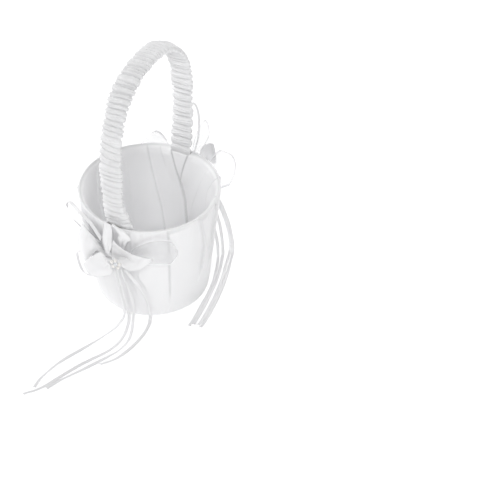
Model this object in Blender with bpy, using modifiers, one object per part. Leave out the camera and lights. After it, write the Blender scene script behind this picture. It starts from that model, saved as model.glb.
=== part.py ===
"""Flower girl basket: a card bucket dressed in satin, with an upright ruched handle and two flower bows.

Z is up, the origin is the centre of the base, and the handle's arch stands in the YZ plane.
The front bow is on the -Y side and the back bow on the +Y side. Values are in metres, except in
names that end in _MM or _mm, and in the tables of petals and loops, whose own notes say what they hold.
"""
from math import atan2, copysign, cos, pi, radians, sin

import bmesh
import bpy
from mathutils import Vector

MM = 0.001
GAP = 0.3 * MM

# Bucket
RIM_RADIUS = 62 * MM
BASE_RADIUS = 50 * MM
BODY_HEIGHT = 110 * MM
CLOTH = 0.7 * MM
BOARD = 1.6 * MM
HEM_RADIUS = 4 * MM
TURNS = 48

# Handle
STRIP_WIDTH = 14 * MM
STRIP_THICKNESS = 1.2 * MM
STRIP_LEAN = 0.108
SLEEVE_WIDTH = 20 * MM
SLEEVE_FOOT_EXTRA_WIDTH = 2 * MM
SLEEVE_THICKNESS = 7 * MM
SLEEVE_FOOT_THICKNESS = 3.2 * MM
SLEEVE_FOOT_HEIGHT = 106 * MM
SLEEVE_SWELL_HEIGHT = 13 * MM
SLEEVE_SQUARENESS = 0.7
PAD_HEIGHT = 95 * MM
PAD_SIZE = (12 * MM, 0.7 * MM, 16 * MM)
PAD_STAND_OFF = 1.35 * MM

# Lining over the handle's feet
LINING_FOOT_HALF_WIDTH = 19 * MM
LINING_FOOT_SLOPE = 6 * MM
LINING_FOOT_DIP = 3.6 * MM
LINING_FOOT_BULGE = 4.2 * MM
LINING_BULGE_BOTTOM = 66 * MM
LINING_BULGE_RISE = 14 * MM

# Bows and ribbons; each place is (degrees from the bow's middle, height in mm, stand-off in mm)
BACKING_PLACE = (0, 75, 1.6)
BACKING_RADIUS = 9 * MM
BACKING_THICKNESS = 1.0 * MM
KNOT_PLACE = (2.5, 69.6, 6.2)
KNOT_RADIUS = 3 * MM
STONE_PLACE = (4, 76.5, 12.8)
STONE_RADIUS = 2.0 * MM
PETAL_THICKNESS = 0.6 * MM
PETAL_MESH = (6, 4)
ORGANZA_THICKNESS = 0.5 * MM
LOOP_RADIUS = 0.9 * MM
TAIL_RADIUS = 1.0 * MM
PEARL_RADIUS = 1.7 * MM
PEARL_RING = 3.9 * MM
PEARL_COUNT = 5

TOP_EDGE = BODY_HEIGHT - 2.4 * MM
WELT_RADIUS = 1.1 * MM
TAPER = (RIM_RADIUS - BASE_RADIUS) / BODY_HEIGHT
FRONT = -1
BACK = 1

# Half of the handle's centre line from its foot to its apex, as (y, z) in millimetres.
HANDLE_LINE_MM = [(54.2, 84), (56.8, 108), (60, 125), (62.6, 145), (63.3, 165), (62.6, 185),
                  (59.6, 203), (52.5, 218), (42, 231), (26, 241), (0, 245)]

# Each petal is rows across its width and points along it. A point is (angle round the wall from
# the middle of the bow in degrees, height in mm, stand-off from the cover in mm).
FRONT_PETALS = {
    "front_petal_left": [
        [(-9, 79, 5), (-13, 87, 7), (-15, 96, 9), (-19, 100, 10), (-27, 102, 9)],
        [(-9, 77, 5.5), (-12, 84, 9), (-15, 91, 14), (-21, 90, 16), (-35, 76, 13)],
        [(-9, 75, 6), (-14, 80, 9), (-19, 71, 12), (-27, 59, 13), (-38, 52, 11)]],
    "front_petal_low": [
        [(-6, 76, 8.5), (-8, 84, 12), (-16, 74, 16), (-26, 58, 16.5)],
        [(-4.5, 74, 9), (-6, 72, 12), (-11, 64, 15), (-21, 46, 14)],
        [(-3.5, 72, 9), (-1, 68.5, 11), (0, 65, 12), (-3, 57.5, 11)]],
    "front_petal_calla": [
        [(2, 101, 8), (6, 98, 9), (12, 94, 10), (18, 90, 10.5), (25, 87, 10), (30, 85, 9)],
        [(-2, 87, 4.5), (2, 85, 3.8), (9, 82, 4.6), (16, 83, 8), (24, 86, 10.2), (30, 84.4, 8.8)],
        [(-2, 81, 6.5), (3, 79, 7), (8, 81, 6.5), (16, 80, 9), (23, 83, 11), (30, 83.8, 9)],
        [(-2.5, 78, 5.5), (3, 76, 6), (9, 75, 7), (15, 76, 10), (22, 80, 11.5), (30, 83.2, 9.2)],
        [(-1.5, 76.5, 7.5), (3, 75, 9), (9, 72, 10.5), (15, 71, 12), (23, 76, 12), (30, 82.6, 9.4)]],
    "front_petal_fold": [
        [(-6.7, 79, 6), (-9, 86, 5.6), (-8.7, 95, 6), (-6.1, 107, 7), (-4.2, 116, 7)],
        [(-5, 81, 7), (-4, 91.3, 9), (-2.5, 105, 11), (-1.5, 115, 11), (-1.3, 122, 9)],
        [(-3.8, 82, 6), (-3.4, 90, 5.6), (-2, 101, 6), (-0.2, 111, 7), (0.3, 119, 7)]],
    "front_petal_top": [
        [(4.7, 103, 5.5), (6.2, 107, 6), (6.2, 114, 8), (3.3, 122.5, 9)],
        [(8, 101.5, 6), (10.5, 107, 8), (9.5, 115, 10), (4.2, 123, 9.5)],
        [(11.6, 99, 5), (15.1, 104, 6), (13.2, 114.5, 9), (5.1, 122.6, 9)]],
}
FRONT_ORGANZA = {
    "front_organza_left_high": [
        [(-9, 88, 3), (-18, 102, 3.5), (-30, 109, 5), (-38, 106, 5)],
        [(-9, 85, 3), (-22, 94, 4), (-36, 99, 6), (-44, 97, 5)],
        [(-9, 83, 3), (-22, 86, 3), (-36, 87, 4), (-43, 88, 4)]],
    "front_organza_left_low": [
        [(-9, 78, 3), (-24, 79, 3.5), (-38, 79, 5), (-50, 78, 4)],
        [(-9, 74, 3), (-26, 68, 4), (-42, 66, 7), (-53, 64, 6)],
        [(-9, 71, 3), (-22, 57, 3), (-36, 52, 4), (-47, 52, 4)]],
    "front_organza_right": [
        [(10, 83, 3), (20, 96, 3), (32, 103, 3), (44, 100, 3), (50, 92, 3)],
        [(10, 78, 3), (20, 84, 4), (34, 87, 5), (47, 84, 4), (52, 81, 3)],
        [(10, 73, 3), (20, 72, 3), (32, 70, 3), (43, 68, 3), (49, 71, 3)]],
}
BACK_PETALS = {
    "back_petal_left": [
        [(-8, 82, 11), (-14, 92, 14), (-23, 98, 15), (-31, 97, 12)],
        [(-7, 80, 12), (-15, 83, 18), (-26, 81, 19), (-34, 79, 13)],
        [(-8, 77, 12), (-12, 71, 17), (-21, 64, 18), (-29, 61, 13)]],
    "back_petal_low": [
        [(-10, 71, 8), (-17, 66, 10), (-26, 56, 10), (-31, 49, 9)],
        [(-7, 69, 9), (-12, 61, 12), (-18, 51, 13), (-21, 42, 11)],
        [(-4, 67, 9), (-6, 59, 11), (-8, 50, 11), (-8, 43, 10)]],
    "back_petal_right": [
        [(8, 83, 6), (12, 98, 9), (17, 110, 11), (20, 114, 10)],
        [(9, 81, 7), (15, 92, 13), (21, 102, 14), (24, 105, 12)],
        [(9, 78, 7), (16, 84, 12), (22, 91, 12), (25, 95, 11)]],
    "back_petal_fold": [
        [(-6, 84, 6), (-7, 98, 7), (-6, 111, 7)],
        [(-4, 83, 9), (-4, 98, 12), (-3.5, 114, 11)],
        [(-1.5, 84, 7), (-1.5, 98, 8), (-1.5, 112, 8)]],
}
BACK_ORGANZA = {
    "back_organza_high": [
        [(2, 86, 7), (1, 104, 9), (3, 124, 12), (6, 137, 13)],
        [(4, 86, 8), (7, 106, 12), (11, 128, 15), (14, 145, 16)],
        [(6, 85, 7), (12, 106, 11), (18, 124, 13), (21, 137, 14)]],
    "back_organza_right": [
        [(11, 75, 3), (20, 94, 3.5), (27, 112, 8), (33, 119, 13)],
        [(11, 72, 3), (22, 82, 4), (33, 96, 14), (39.5, 103, 21.5)],
        [(11, 69, 3), (22, 68, 4), (33, 75, 14), (40, 85, 23.5)]],
    "back_organza_left": [
        [(-9, 87, 3), (-16, 104, 4), (-26, 115, 6), (-36, 108, 6)],
        [(-9, 83, 3), (-22, 94, 5), (-34, 100, 8), (-42, 95, 6)],
        [(-9, 79, 3), (-24, 78, 4), (-36, 80, 5), (-43, 82, 5)]],
}

# Thin ribbon loops, as points like those of the petals.
FRONT_LOOPS = {
    "front_loop_high": [(-14, 87, 5.2), (-22, 90, 6), (-31, 93, 8), (-41, 93, 9.5), (-50, 91, 10.5),
                        (-58, 90, 12.5), (-60, 93, 12.5), (-56, 99, 11), (-48, 107, 9), (-40, 111, 8),
                        (-30, 111, 7), (-20, 107, 5.8), (-14, 98, 5.2), (-10.5, 92, 5)],
    "front_loop_low": [(-11, 68, 5), (-22, 66, 5.5), (-32, 61.5, 7.5), (-38, 57.5, 8.8), (-44, 53, 10.2),
                       (-51, 45, 12.3), (-51, 35, 12.6), (-44, 30, 11.5), (-34, 34, 10), (-24, 40, 9.3),
                       (-17, 46, 8.5), (-12, 55, 7), (-9.5, 64, 5.5)],
}
BACK_LOOPS = {
    "back_loop_tall": [(4, 89, 4), (8, 105, 4.5), (10, 121, 6), (8.8, 135, 8), (7, 144, 9), (5, 149.5, 9),
                       (2.5, 151, 9), (-0.5, 146, 8.5), (-2, 134, 7), (-1.5, 118, 5.5),
                       (-0.5, 103, 4.5), (-0.5, 88, 4)],
    "back_loop_low": [(-12, 74, 4), (-24, 70, 5), (-36, 66, 8), (-43, 56, 10), (-40, 44, 10),
                      (-31, 42, 7), (-22, 50, 5), (-14, 64, 4)],
}

# Ribbon tails, as (x, y, z) in millimetres from the bow to the cut end.
TAIL_ROUTES_MM = {
    "front_tail_1": [(-1.3, -63, 65), (-1, -64, 59), (0, -63, 48), (2, -61, 34), (3, -59, 20),
                     (3, -57.5, 10), (2.5, -58, 4), (2, -62, 1.6), (1.5, -72, 1.1), (-3, -88, 1.1),
                     (-10, -107, 1.1), (-18, -127, 1.1), (-22, -142, 1.1), (-24, -157, 1.1),
                     (-23, -169, 1.1)],
    "front_tail_2": [(1.6, -63, 65), (2.5, -64, 58), (4.5, -62.5, 44), (6, -60.5, 30),
                     (7, -58.5, 16), (7.6, -57.5, 7), (8.6, -60, 2), (11, -68, 1.1),
                     (13.5, -79, 1.1), (13.6, -89, 1.1), (10.6, -101, 1.1), (4.2, -114, 1.1),
                     (-2.6, -128, 1.1), (-10, -147, 1.1), (-18, -167, 1.1), (-28, -180, 1.1)],
    "front_tail_3": [(4.8, -63, 65), (7.5, -63, 56), (10.5, -61, 42), (12.2, -59, 28),
                     (12.4, -57.5, 14), (12, -57.5, 6), (13, -61, 1.8), (16.5, -69, 1.1),
                     (19.5, -79, 1.1), (19.8, -88, 1.1), (18, -98, 1.1), (12.5, -110.5, 1.1),
                     (7, -122, 1.1), (1, -134, 1.1), (-8, -151, 1.1), (-13.5, -165, 1.1)],
    "front_tail_4": [(8.3, -62, 65), (13, -60.5, 57), (18, -57.5, 46), (21.5, -54, 34),
                     (23.5, -51, 22), (24, -49, 11), (24.3, -48.7, 5), (25, -51, 2),
                     (26.5, -56, 1.1), (28, -69, 1.1), (27, -85, 1.1), (23.5, -101, 1.1),
                     (18.5, -111, 1.1), (12.5, -118.5, 1.1)],
    "back_tail_1": [(6, 64.5, 70), (13, 67, 69), (22, 69.5, 63), (31, 70.5, 53), (38, 70, 39),
                    (43, 69.5, 26), (45.5, 69, 12), (47, 66, 3.5), (49, 60.5, 1.1), (53, 48, 1.1),
                    (58, 31, 1.1), (62, 14, 1.1), (65.5, -6, 1.1), (68, -27, 1.1), (68.5, -38, 1.1)],
    "back_tail_2": [(5, 67.5, 67), (12, 73, 62), (21, 74.5, 55), (29.5, 74, 44), (35.5, 73, 31),
                    (40.5, 71.5, 18), (43.3, 69, 6), (45, 63, 1.1), (50, 46, 1.1), (55, 30, 1.1),
                    (59, 13, 1.1), (62.5, -7, 1.1), (65, -27, 1.1), (65, -36, 1.1)],
    "back_tail_3": [(6, 63.5, 66.5), (12, 66.5, 62), (20, 68, 56), (27, 67.5, 47), (33, 66, 33),
                    (37, 63.5, 18), (40, 60, 6), (41.5, 56, 1.1), (48, 38.5, 1.1), (52.5, 22, 1.1),
                    (55.5, 6, 1.1), (58.3, -11, 1.1), (60.5, -30, 1.1), (61, -37, 1.1)],
    "back_tail_4": [(5, 63.5, 62), (10, 65.5, 57), (17, 66.5, 50), (24, 65.5, 38), (30, 63, 24),
                    (34.5, 60, 10), (37, 56, 3), (39, 52, 1.1), (45, 37.5, 1.1), (49.8, 22, 1.1),
                    (52.8, 6, 1.1), (55.3, -11, 1.1), (57.5, -28, 1.1), (58.5, -41, 1.1)],
}


def clear_scene():
    for obj in list(bpy.data.objects):
        bpy.data.objects.remove(obj)


def make_material(name, colour, roughness, metallic=0.0):
    material = bpy.data.materials.new(name)
    material.use_nodes = True
    shader = material.node_tree.nodes["Principled BSDF"]
    shader.inputs["Base Color"].default_value = (*colour, 1)
    shader.inputs["Roughness"].default_value = roughness
    shader.inputs["Metallic"].default_value = metallic
    return material


def add_object(name, data, material):
    obj = bpy.data.objects.new(name, data)
    data.materials.append(material)
    parts.objects.link(obj)
    return obj


def mesh_from(bm, name, smooth=True):
    mesh = bpy.data.meshes.new(name)
    bm.to_mesh(mesh)
    bm.free()
    if smooth:
        mesh.shade_smooth()
    return mesh


def add_solidify(obj, thickness, offset=-1.0):
    modifier = obj.modifiers.new("thickness", "SOLIDIFY")
    modifier.thickness = thickness
    modifier.offset = offset


def cover_radius(height):
    return BASE_RADIUS + TAPER * height


def wall_point(side, angle, height_mm, stand_off_mm):
    """A point beside the wall: the angle is in degrees from the bow's middle towards +X."""
    height = height_mm * MM
    radius = cover_radius(height) + stand_off_mm * MM
    return Vector((radius * sin(radians(angle)), side * radius * cos(radians(angle)), height))


def smooth_point(points, t):
    """The Catmull-Rom curve through the points, with t from 0 to 1."""
    spans = len(points) - 1
    span = min(int(t * spans), spans - 1)
    f = t * spans - span
    p1, p2 = points[span], points[span + 1]
    p0 = points[span - 1] if span else 2 * p1 - p2
    p3 = points[span + 2] if span + 2 <= spans else 2 * p2 - p1
    bend = 2 * p0 - 5 * p1 + 4 * p2 - p3
    twist = 3 * p1 - p0 - 3 * p2 + p3
    return 0.5 * (2 * p1 + (p2 - p0) * f + bend * f * f + twist * f ** 3)


def even_points(points, spacing):
    """Points an even distance apart along the smooth curve through the route's own points."""
    fine = [smooth_point(points, i / 600) for i in range(601)]
    lengths = [0.0]
    for a, b in zip(fine, fine[1:]):
        lengths.append(lengths[-1] + (b - a).length)
    count = max(2, round(lengths[-1] / spacing))
    result = []
    k = 0
    for i in range(count + 1):
        wanted = lengths[-1] * i / count
        while k < 599 and lengths[k + 1] < wanted:
            k += 1
        result.append(fine[k].lerp(fine[k + 1], (wanted - lengths[k]) / (lengths[k + 1] - lengths[k])))
    return result


def turned(name, profile, material, thickness=None):
    """A turned piece: the profile's (radius, height) points run down its outer side."""
    bm = bmesh.new()
    verts = [bm.verts.new((r, 0, z)) for r, z in profile]
    for a, b in zip(verts, verts[1:]):
        bm.edges.new((a, b))
    obj = add_object(name, mesh_from(bm, name, smooth=False), material)
    screw = obj.modifiers.new("turn", "SCREW")
    screw.axis = "Z"
    screw.steps = TURNS
    screw.render_steps = TURNS
    screw.use_merge_vertices = True
    screw.merge_threshold = 0.00001
    if thickness:
        add_solidify(obj, thickness)
    return obj


def disc(name, radius, bottom, thickness, material):
    bm = bmesh.new()
    bmesh.ops.create_cone(bm, cap_ends=True, segments=TURNS, radius1=radius, radius2=radius, depth=thickness)
    bmesh.ops.translate(bm, vec=(0, 0, bottom + thickness / 2), verts=bm.verts)
    return add_object(name, mesh_from(bm, name, smooth=False), material)


def shaped_grid(name, columns, rows, place, material, merge=False):
    """A grid whose corners go where place(u, v) puts them, with u and v from 0 to 1."""
    bm = bmesh.new()
    bmesh.ops.create_grid(bm, x_segments=columns, y_segments=rows, size=0.5)
    for vert in bm.verts:
        vert.co = place(vert.co.x + 0.5, vert.co.y + 0.5)
    if merge:
        bmesh.ops.remove_doubles(bm, verts=bm.verts, dist=0.00001)
    return add_object(name, mesh_from(bm, name), material)


def bucket():
    """The card wall and base, and the satin and lining that dress them."""
    hem_bottom = 1.1 * MM
    hem_centre = (cover_radius(hem_bottom + HEM_RADIUS) - HEM_RADIUS, hem_bottom + HEM_RADIUS)
    profile = [(cover_radius(TOP_EDGE), TOP_EDGE), (cover_radius(60 * MM), 60 * MM)]
    for degrees in (0, 30, 60, 90):
        turn = radians(degrees)
        profile.append((hem_centre[0] + HEM_RADIUS * cos(turn), hem_centre[1] - HEM_RADIUS * sin(turn)))
    profile.append((38 * MM, hem_bottom))
    turned("outer_cover", profile, satin, CLOTH)
    disc("base_cover", 44 * MM, 0, 0.8 * MM, satin)

    outer = CLOTH + GAP
    inner = outer + BOARD
    low = 4.6 * MM
    wall = [(cover_radius(TOP_EDGE) - inner, TOP_EDGE), (cover_radius(TOP_EDGE) - outer, TOP_EDGE),
            (cover_radius(low) - outer, low), (cover_radius(low) - inner, low),
            (cover_radius(TOP_EDGE) - inner, TOP_EDGE)]
    turned("wall_board", wall, card)
    disc("base_board", 46.3 * MM, 2.1 * MM, 2.2 * MM, card)
    disc("lining_base", 47.2 * MM, 4.6 * MM, 0.6 * MM, lining_satin)

    def lining_point(u, v):
        """The lining lies on the board and bulges over the handle's feet, where its edge dips."""
        angle = 2 * pi * u
        across = abs(cos(angle)) * RIM_RADIUS
        foot = min(1.0, max(0.0, (LINING_FOOT_HALF_WIDTH - across) / LINING_FOOT_SLOPE))
        foot = foot * foot * (3 - 2 * foot)
        bottom = 5.5 * MM
        top = TOP_EDGE - LINING_FOOT_DIP * foot
        height = bottom + (top - bottom) * (1 - (1 - v) ** 1.5)
        covered = min(1.0, max(0.0, (height - LINING_BULGE_BOTTOM) / LINING_BULGE_RISE))
        radius = cover_radius(height) - inner - GAP - LINING_FOOT_BULGE * foot * covered
        return Vector((radius * cos(angle), radius * sin(angle), height))

    lining = shaped_grid("lining", TURNS, 6, lining_point, lining_satin, merge=True)
    add_solidify(lining, CLOTH)


def rim_welt():
    bpy.ops.mesh.primitive_torus_add(
        location=(0, 0, BODY_HEIGHT - WELT_RADIUS), major_segments=TURNS, minor_segments=6,
        major_radius=RIM_RADIUS - WELT_RADIUS + 0.2 * MM, minor_radius=WELT_RADIUS)
    welt = bpy.context.object
    welt.name = "rim_welt"
    welt.data.shade_smooth()
    welt.data.materials.append(satin)
    for collection in list(welt.users_collection):
        collection.objects.unlink(welt)
    parts.objects.link(welt)


def handle_line():
    """The whole centre line, from the front foot over the apex to the back foot."""
    half = [Vector((0, y * MM, z * MM)) for y, z in HANDLE_LINE_MM]
    front = [Vector((0, -p.y, p.z)) for p in half]
    return front + half[-2::-1]


def swept_point(line, u, v, section):
    """A point on a section (x across, n outwards) carried along the line; v runs along it."""
    step = 0.002
    here = smooth_point(line, v)
    ahead = smooth_point(line, min(1, v + step))
    behind = smooth_point(line, max(0, v - step))
    along = (ahead - behind).normalized()
    out = Vector((0, -along.z, along.y))
    across, outwards = section(u, here.z)
    return here + Vector((across, 0, 0)) + out * outwards


def sleeve_section(u, height):
    """A flattened oval, thin where it enters the rim and a little wider at its foot."""
    rise = min(1.0, max(0.0, (height - SLEEVE_FOOT_HEIGHT) / SLEEVE_SWELL_HEIGHT))
    thickness = SLEEVE_FOOT_THICKNESS + (SLEEVE_THICKNESS - SLEEVE_FOOT_THICKNESS) * rise
    width = SLEEVE_WIDTH + SLEEVE_FOOT_EXTRA_WIDTH * (1 - rise)
    turn = -2 * pi * u
    across = copysign(abs(cos(turn)) ** SLEEVE_SQUARENESS, cos(turn)) * width / 2
    outwards = copysign(abs(sin(turn)) ** SLEEVE_SQUARENESS, sin(turn)) * thickness / 2
    return across, outwards


def handle():
    line = handle_line()
    first_span = line[1].z - line[0].z
    foot_lift = (SLEEVE_FOOT_HEIGHT - line[0].z) / first_span / (len(line) - 1)

    def sleeve_point(u, v):
        return swept_point(line, u, foot_lift + (1 - 2 * foot_lift) * v, sleeve_section)

    sleeve = shaped_grid("handle_sleeve", 14, 32, sleeve_point, satin, merge=True)
    add_solidify(sleeve, CLOTH)

    def strip_section(u, height):
        return STRIP_WIDTH * (u - 0.5), 0.0

    def strip_point(u, v):
        return swept_point(line, u, v, strip_section)

    strip = shaped_grid("handle_strip", 1, 36, strip_point, plastic)
    add_solidify(strip, STRIP_THICKNESS, offset=0)

    for name, side in (("front_foot_pad", FRONT), ("back_foot_pad", BACK)):
        bm = bmesh.new()
        bmesh.ops.create_cube(bm, size=1)
        bmesh.ops.scale(bm, vec=PAD_SIZE, verts=bm.verts)
        pad = add_object(name, mesh_from(bm, name, smooth=False), glue)
        strip_y = line[-1].y + STRIP_LEAN * (PAD_HEIGHT - line[-1].z)
        pad.location = (0, side * (strip_y + PAD_STAND_OFF), PAD_HEIGHT)
        pad.rotation_euler = (-side * STRIP_LEAN, 0, 0)


def petal(name, rows, side, thickness, material):
    cage = [[wall_point(side, *point) for point in row] for row in rows]

    def petal_point(u, v):
        return smooth_point([smooth_point(row, u) for row in cage], v)

    columns = max(PETAL_MESH[0], 2 * len(rows[0]) - 2)
    obj = shaped_grid(name, columns, max(PETAL_MESH[1], 2 * len(rows) - 2), petal_point, material)
    add_solidify(obj, thickness, offset=0)


def ribbon(name, points, radius, spacing, material):
    """A ribbon's plain body: a thin round tube along its route."""
    curve = bpy.data.curves.new(name, "CURVE")
    curve.dimensions = "3D"
    curve.bevel_depth = radius
    curve.bevel_resolution = 2
    curve.use_fill_caps = True
    spline = curve.splines.new("POLY")
    route = even_points(points, spacing)
    spline.points.add(len(route) - 1)
    for spline_point, place in zip(spline.points, route):
        spline_point.co = (*place, 1)
    add_object(name, curve, material)


def sphere(name, centre, radius, material, segments=8, rings=6):
    bm = bmesh.new()
    bmesh.ops.create_uvsphere(bm, u_segments=segments, v_segments=rings, radius=radius)
    bmesh.ops.translate(bm, vec=centre, verts=bm.verts)
    add_object(name, mesh_from(bm, name), material)


def bow_centre(prefix, side):
    """The felt backing, the satin knot, and the pearls round one rhinestone."""
    lean = atan2(RIM_RADIUS - BASE_RADIUS, BODY_HEIGHT)
    bm = bmesh.new()
    bmesh.ops.create_cone(bm, cap_ends=True, segments=20, radius1=BACKING_RADIUS, radius2=BACKING_RADIUS,
                          depth=BACKING_THICKNESS)
    backing = add_object(prefix + "_backing", mesh_from(bm, prefix + "_backing", smooth=False), felt)
    backing.location = wall_point(side, *BACKING_PLACE)
    backing.rotation_euler = (-side * (lean + pi / 2), 0, 0)
    sphere(prefix + "_knot", wall_point(side, *KNOT_PLACE), KNOT_RADIUS, satin, segments=12, rings=8)
    face = wall_point(side, *STONE_PLACE)
    sphere(prefix + "_rhinestone", face, STONE_RADIUS, crystal)
    for i in range(PEARL_COUNT):
        turn = 2 * pi * (i + 0.25) / PEARL_COUNT
        centre = face + Vector((PEARL_RING * cos(turn), 0, PEARL_RING * sin(turn)))
        sphere(f"{prefix}_pearl_{i + 1}", centre, PEARL_RADIUS, pearl)


def bows():
    for prefix, side, petals, organzas, loops in (
            ("front", FRONT, FRONT_PETALS, FRONT_ORGANZA, FRONT_LOOPS),
            ("back", BACK, BACK_PETALS, BACK_ORGANZA, BACK_LOOPS)):
        bow_centre(prefix, side)
        for name, rows in petals.items():
            petal(name, rows, side, PETAL_THICKNESS, satin)
        for name, rows in organzas.items():
            petal(name, rows, side, ORGANZA_THICKNESS, organza)
        for name, points in loops.items():
            ribbon(name, [wall_point(side, *p) for p in points], LOOP_RADIUS, 5 * MM, ribbon_satin)


def tails():
    for name, route in TAIL_ROUTES_MM.items():
        ribbon(name, [Vector(p) * MM for p in route], TAIL_RADIUS, 7 * MM, ribbon_satin)


clear_scene()
parts = bpy.data.collections.new("flower_girl_basket")
bpy.context.scene.collection.children.link(parts)

satin = make_material("white_satin", (0.93, 0.93, 0.94), 0.35)
lining_satin = make_material("lining_satin", (0.88, 0.88, 0.89), 0.45)
organza = make_material("white_organza", (0.95, 0.95, 0.96), 0.5)
ribbon_satin = make_material("ribbon_satin", (0.94, 0.94, 0.95), 0.3)
card = make_material("grey_card", (0.72, 0.70, 0.66), 0.8)
plastic = make_material("white_plastic", (0.85, 0.85, 0.84), 0.45)
felt = make_material("white_felt", (0.9, 0.9, 0.9), 0.95)
glue = make_material("hot_glue", (0.86, 0.84, 0.78), 0.3)
pearl = make_material("pearl", (0.92, 0.90, 0.87), 0.18)
crystal = make_material("rhinestone", (0.85, 0.87, 0.9), 0.05)

bucket()
rim_welt()
handle()
bows()
tails()
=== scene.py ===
from math import cos, pi, radians, sin

import bmesh
import bpy
import numpy as np
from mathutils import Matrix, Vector


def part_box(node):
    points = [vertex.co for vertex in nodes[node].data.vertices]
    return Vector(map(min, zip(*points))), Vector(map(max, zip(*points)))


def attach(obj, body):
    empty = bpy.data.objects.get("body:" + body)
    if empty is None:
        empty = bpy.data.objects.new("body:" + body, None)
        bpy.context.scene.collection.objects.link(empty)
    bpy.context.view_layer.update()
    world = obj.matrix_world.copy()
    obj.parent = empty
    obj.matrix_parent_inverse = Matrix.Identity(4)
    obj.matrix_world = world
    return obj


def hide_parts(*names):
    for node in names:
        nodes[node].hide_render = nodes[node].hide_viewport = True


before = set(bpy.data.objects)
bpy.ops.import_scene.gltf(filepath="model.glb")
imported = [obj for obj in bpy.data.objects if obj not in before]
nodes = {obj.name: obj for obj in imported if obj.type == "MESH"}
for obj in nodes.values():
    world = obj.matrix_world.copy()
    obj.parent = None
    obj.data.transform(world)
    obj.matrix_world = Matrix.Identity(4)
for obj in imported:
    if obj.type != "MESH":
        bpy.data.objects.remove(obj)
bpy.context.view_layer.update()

mm = 0.001

# the sizes that every piece hangs from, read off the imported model
bucket = {
    "height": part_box("rim_welt")[1].z,
    "rimRadius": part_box("rim_welt")[1].x - 0.2 * mm,
    "boardTop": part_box("wall_board")[1].z,
    "boardInset": 2.6 * mm,  # from the cover's face to the board's inner face
    "footHeight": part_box("handle_sleeve")[0].z,
    "taper": 12 * mm,  # how much less the base's radius is than the rim's
    "meanRadius": 56,  # in mm, turns degrees into a distance along the cloth
}
bucket["baseRadius"] = bucket["rimRadius"] - bucket["taper"]
front, back = -1, 1


def sideOf(name):
    return front if name.startswith("front") else back


def coverRadius(height):
    rise = (bucket["rimRadius"] - bucket["baseRadius"]) / bucket["height"]
    return bucket["baseRadius"] + rise * height


def wallPoint(side, angle, height, standOff):
    # beside the wall: degrees from the bow's middle towards +X, height and stand-off in mm
    height = np.asarray(height, float) * mm
    radius = coverRadius(height) + np.asarray(standOff, float) * mm
    turn = np.radians(angle)
    return np.stack([radius * np.sin(turn), side * radius * np.cos(turn), height], axis=-1)


def smoothCurve(points, t):
    # Catmull-Rom through the points, with t from 0 to 1
    points = np.asarray(points, float)
    spans = len(points) - 1
    t = np.clip(np.asarray(t, float), 0, 1) * spans
    span = np.minimum(t.astype(int), spans - 1)
    f = (t - span)[:, None]
    ends = np.vstack([2 * points[0] - points[1], points, 2 * points[-1] - points[-2]])
    p0, p1, p2, p3 = (ends[span + k] for k in range(4))
    bend = 2 * p0 - 5 * p1 + 4 * p2 - p3
    return 0.5 * (2 * p1 + (p2 - p0) * f + bend * f ** 2 + (3 * p1 - p0 - 3 * p2 + p3) * f ** 3)


def spaced(line, count):
    # count points an even distance apart on a line, and how far along it they lie
    steps = np.linalg.norm(np.diff(line, axis=0), axis=1)
    along = np.concatenate([[0], np.cumsum(steps)])
    wanted = np.linspace(0, along[-1], count)
    return np.stack([np.interp(wanted, along, line[:, k]) for k in range(3)], axis=1), wanted


def evenCurve(points, count, fineness=1500):
    # the smooth curve through the points, evenly spaced, and its length
    line, along = spaced(smoothCurve(points, np.linspace(0, 1, fineness)), count)
    return line, along[-1]


def circle(count):
    # angles evenly round a full turn
    return np.linspace(0, 2 * pi, count, endpoint=False)


def unit(vectors):
    return vectors / np.linalg.norm(vectors, axis=-1, keepdims=True)


def smoothStep(low, high, value):
    t = np.clip((np.asarray(value, float) - low) / (high - low), 0, 1)
    return t * t * (3 - 2 * t)


class Ripple:
    # smooth seeded noise on two values, about -1 to 1: a sum of tilted waves
    def __init__(self, seed, waves=9):
        draw = np.random.default_rng(seed)
        turn = draw.uniform(0, 2 * pi, waves)
        size = draw.uniform(0.45, 1.6, waves)
        self.kx, self.ky = size * np.cos(turn), size * np.sin(turn)
        self.phase = draw.uniform(0, 2 * pi, waves)

    def __call__(self, x, y=0.0):
        x, y = np.broadcast_arrays(np.asarray(x, float), np.asarray(y, float))
        total = np.zeros(x.shape)
        for kx, ky, phase in zip(self.kx, self.ky, self.phase):
            total += np.sin(2 * pi * (kx * x + ky * y) + phase)
        return total / len(self.phase) ** 0.5


def addObject(name, data):
    made = bpy.data.objects.new(name, data)
    bpy.context.scene.collection.objects.link(made)
    return made


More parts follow.
